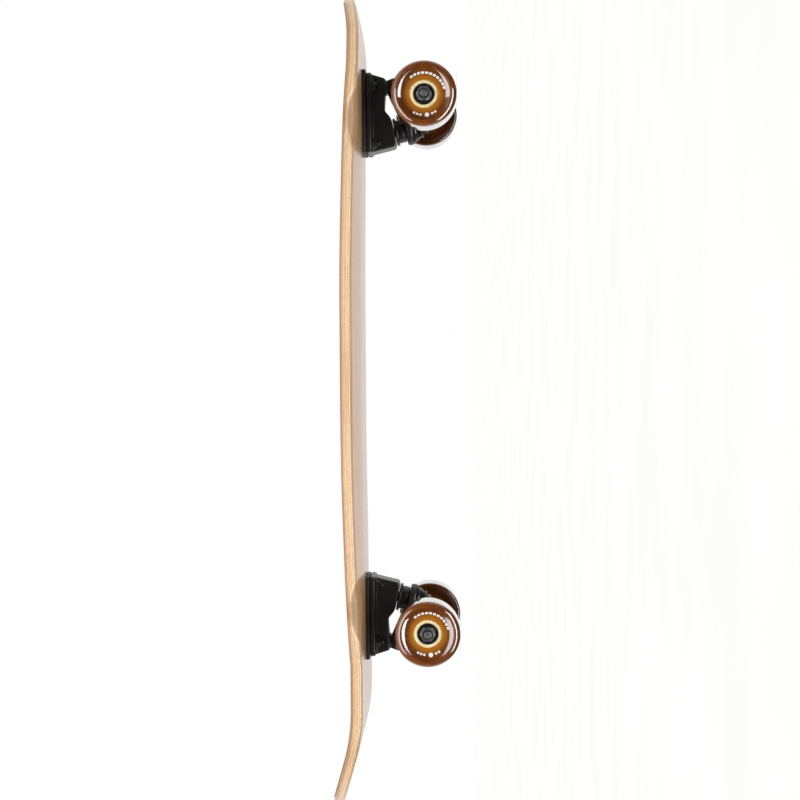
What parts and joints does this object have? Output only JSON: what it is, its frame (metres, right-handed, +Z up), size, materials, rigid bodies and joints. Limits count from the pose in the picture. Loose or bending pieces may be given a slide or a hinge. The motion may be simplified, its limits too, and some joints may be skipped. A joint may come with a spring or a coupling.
{
  "type": "cruiser skateboard",
  "caption": "Wooden kicktail cruiser skateboard: concave maple deck with wheel wells, sprung kingpin trucks that steer when leaned, and free-rolling translucent wheels.",
  "frame": {"origin": "on the ground, midway between nose tip, tail tip and the two rails", "axes": "+X towards the nose, +Y towards the left of a rider who faces the nose, +Z up out of the deck"},
  "size_m": [0.779, 0.2032, 0.1242],
  "materials": {
    "maple": "pressed maple plies, sanded edges, clear gloss lacquer",
    "clear_grit": "crushed glass grit set in clear lacquer over maple",
    "riser_plastic": "moulded black riser pad",
    "black_paint": "cast aluminium, satin black powder coat",
    "wheel_urethane": "cast translucent amber urethane",
    "bushing_urethane": "cast black urethane",
    "black_steel": "black oxide steel",
    "zinc_steel": "zinc plated steel"
  },
  "bodies": {
    "deck": {"deck": "maple", "grip_layer": "clear_grit", "front_riser": "riser_plastic", "front_baseplate": "black_paint", "front_pivot_cup": "bushing_urethane", "front_kingpin": "black_steel", "front_kingpin_nut": "black_steel", "front_upper_washer": "black_steel", "front_upper_bushing": "bushing_urethane", "front_lower_bushing": "bushing_urethane", "front_lower_washer": "black_steel", "front_inner_left_bolt": "black_steel", "front_inner_left_nut": "black_steel", "front_inner_right_bolt": "black_steel", "front_inner_right_nut": "black_steel", "front_outer_left_bolt": "black_steel", "front_outer_left_nut": "black_steel", "front_outer_right_bolt": "black_steel", "front_outer_right_nut": "black_steel", "rear_riser": "riser_plastic", "rear_baseplate": "black_paint", "rear_pivot_cup": "bushing_urethane", "rear_kingpin": "black_steel", "rear_kingpin_nut": "black_steel", "rear_upper_washer": "black_steel", "rear_upper_bushing": "bushing_urethane", "rear_lower_bushing": "bushing_urethane", "rear_lower_washer": "black_steel", "rear_inner_left_bolt": "black_steel", "rear_inner_left_nut": "black_steel", "rear_inner_right_bolt": "black_steel", "rear_inner_right_nut": "black_steel", "rear_outer_left_bolt": "black_steel", "rear_outer_left_nut": "black_steel", "rear_outer_right_bolt": "black_steel", "rear_outer_right_nut": "black_steel"},
    "front_hanger": {"front_hanger": "black_paint", "front_axle": "zinc_steel", "front_left_spacer": "zinc_steel", "front_left_axle_nut": "zinc_steel", "front_right_spacer": "zinc_steel", "front_right_axle_nut": "zinc_steel"},
    "rear_hanger": {"rear_hanger": "black_paint", "rear_axle": "zinc_steel", "rear_left_spacer": "zinc_steel", "rear_left_axle_nut": "zinc_steel", "rear_right_spacer": "zinc_steel", "rear_right_axle_nut": "zinc_steel"},
    "front_left_wheel": {"front_left_wheel": "wheel_urethane", "front_left_outer_bearing": "zinc_steel", "front_left_inner_bearing": "zinc_steel"},
    "front_right_wheel": {"front_right_wheel": "wheel_urethane", "front_right_outer_bearing": "zinc_steel", "front_right_inner_bearing": "zinc_steel"},
    "rear_left_wheel": {"rear_left_wheel": "wheel_urethane", "rear_left_outer_bearing": "zinc_steel", "rear_left_inner_bearing": "zinc_steel"},
    "rear_right_wheel": {"rear_right_wheel": "wheel_urethane", "rear_right_outer_bearing": "zinc_steel", "rear_right_inner_bearing": "zinc_steel"}
  },
  "joints": [
    {"name": "front_steer", "type": "hinge", "parent": "deck", "child": "front_hanger", "pos_m": [0.3021, 0, 0.0629], "axis": [0.9237, 0, 0.383], "range_deg": [-13, 13], "stiffness_Nm_per_rad": 60, "deforming": ["front_upper_bushing", "front_lower_bushing"]},
    {"name": "rear_steer", "type": "hinge", "parent": "deck", "child": "rear_hanger", "pos_m": [-0.2331, 0, 0.0629], "axis": [-0.9237, 0, 0.383], "range_deg": [-13, 13], "stiffness_Nm_per_rad": 60, "deforming": ["rear_upper_bushing", "rear_lower_bushing"]},
    {"name": "front_left_spin", "type": "hinge", "parent": "front_hanger", "child": "front_left_wheel", "pos_m": [0.2845, 0.079, 0.0305], "axis": [0, 1, 0], "continuous": true},
    {"name": "front_right_spin", "type": "hinge", "parent": "front_hanger", "child": "front_right_wheel", "pos_m": [0.2845, -0.079, 0.0305], "axis": [0, 1, 0], "continuous": true},
    {"name": "rear_left_spin", "type": "hinge", "parent": "rear_hanger", "child": "rear_left_wheel", "pos_m": [-0.2155, 0.079, 0.0305], "axis": [0, 1, 0], "continuous": true},
    {"name": "rear_right_spin", "type": "hinge", "parent": "rear_hanger", "child": "rear_right_wheel", "pos_m": [-0.2155, -0.079, 0.0305], "axis": [0, 1, 0], "continuous": true}
  ]
}
